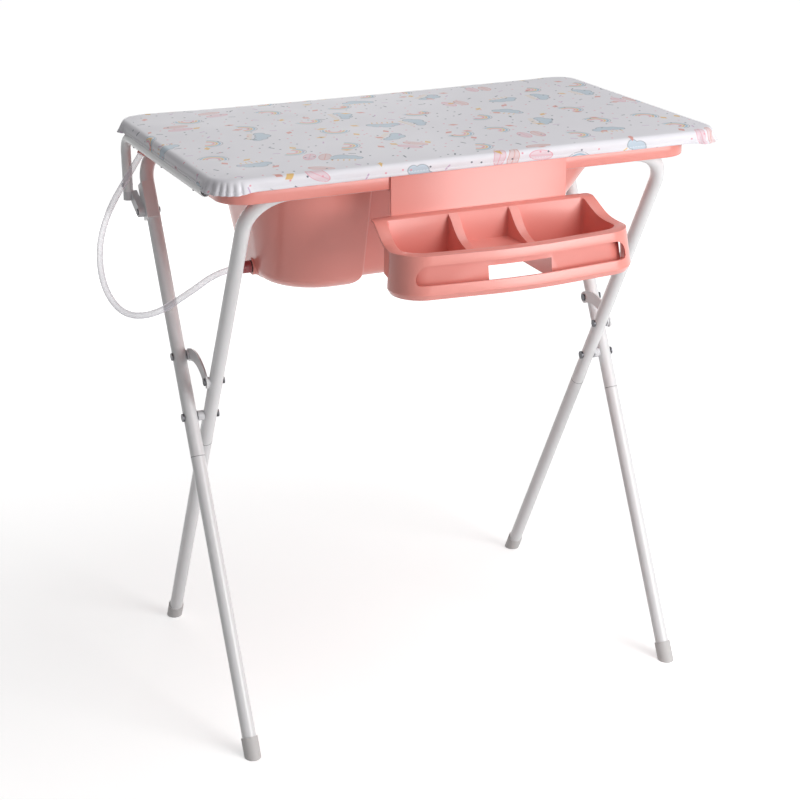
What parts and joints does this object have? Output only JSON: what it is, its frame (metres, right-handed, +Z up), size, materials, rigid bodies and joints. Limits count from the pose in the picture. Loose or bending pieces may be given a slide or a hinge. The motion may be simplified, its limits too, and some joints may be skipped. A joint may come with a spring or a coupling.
{
  "type": "changing table with bathtub",
  "caption": "Folding baby changing table: a padded top that tilts up over a pink bathtub on a white scissor-leg tube frame, with a front tray and a drain hose.",
  "frame": {"origin": "on the floor under the middle of the table, its loose drain hose left out", "axes": "+X to the right of a user who stands at the tray, +Y away from that user, +Z up"},
  "size_m": [0.8914, 0.6968, 0.9138],
  "materials": {
    "frame_paint": "white powder coat",
    "link_paint": "white powder coat",
    "rivet_steel": "zinc plated",
    "screw_steel": "zinc plated",
    "cap_plastic": "moulded, matt",
    "spacer_plastic": "moulded, matt",
    "block_plastic": "moulded, matt",
    "hardboard": "bare hardboard",
    "foam": "polyurethane foam",
    "mat_vinyl": "soft white vinyl with a pastel print",
    "tub_plastic": "moulded, glossy",
    "tray_plastic": "moulded, glossy",
    "outlet_plastic": "moulded, satin",
    "clip_plastic": "moulded, glossy",
    "gasket_rubber": "matt",
    "hose_clear": "clear, soft PVC"
  },
  "bodies": {
    "frame": {"rear_upper_frame": "frame_paint", "accessory_tray": "tray_plastic", "bathtub": "tub_plastic", "drain_gasket": "gasket_rubber", "drain_hose": "hose_clear", "drain_outlet": "outlet_plastic", "front_foot_cap_left": "cap_plastic", "front_foot_cap_right": "cap_plastic", "front_lower_leg_left": "frame_paint", "front_lower_leg_right": "frame_paint", "front_upper_frame": "frame_paint", "hinge_bracket_left": "frame_paint", "hinge_bracket_right": "frame_paint", "hinge_rivet_left": "rivet_steel", "hinge_rivet_right": "rivet_steel", "hose_clip": "clip_plastic", "link_rivet_left": "rivet_steel", "link_rivet_right": "rivet_steel", "link_stud_left": "rivet_steel", "link_stud_right": "rivet_steel", "link_washers_left": "spacer_plastic", "link_washers_right": "spacer_plastic", "pivot_rivet_left": "rivet_steel", "pivot_rivet_right": "rivet_steel", "pivot_spacer_left": "spacer_plastic", "pivot_spacer_right": "spacer_plastic", "rear_foot_cap_left": "cap_plastic", "rear_foot_cap_right": "cap_plastic", "rear_lower_leg_left": "frame_paint", "rear_lower_leg_right": "frame_paint"},
    "changing_top": {"changing_board": "hardboard", "mat_foam": "foam", "mat_cover": "mat_vinyl", "top_screws": "screw_steel", "top_side_tube_left": "frame_paint", "hinge_block_left": "block_plastic", "block_rivet_left": "rivet_steel", "top_side_tube_right": "frame_paint", "hinge_block_right": "block_plastic", "block_rivet_right": "rivet_steel"},
    "lock_link_left": {"lock_link_left": "link_paint"},
    "lock_link_right": {"lock_link_right": "link_paint"}
  },
  "joints": [
    {"name": "changing_top_tilt", "type": "hinge", "parent": "frame", "child": "changing_top", "pos_m": [0, 0.22147, 0.771], "axis": [-1, 0, 0], "range_deg": [0, 95]},
    {"name": "lock_link_left_swing", "type": "hinge", "parent": "frame", "child": "lock_link_left", "pos_m": [-0.354, 0.11218, 0.5627], "axis": [-1, 0, 0], "range_deg": [0, 50]},
    {"name": "lock_link_right_swing", "type": "hinge", "parent": "frame", "child": "lock_link_right", "pos_m": [0.354, 0.11218, 0.5627], "axis": [-1, 0, 0], "range_deg": [0, 50]}
  ]
}
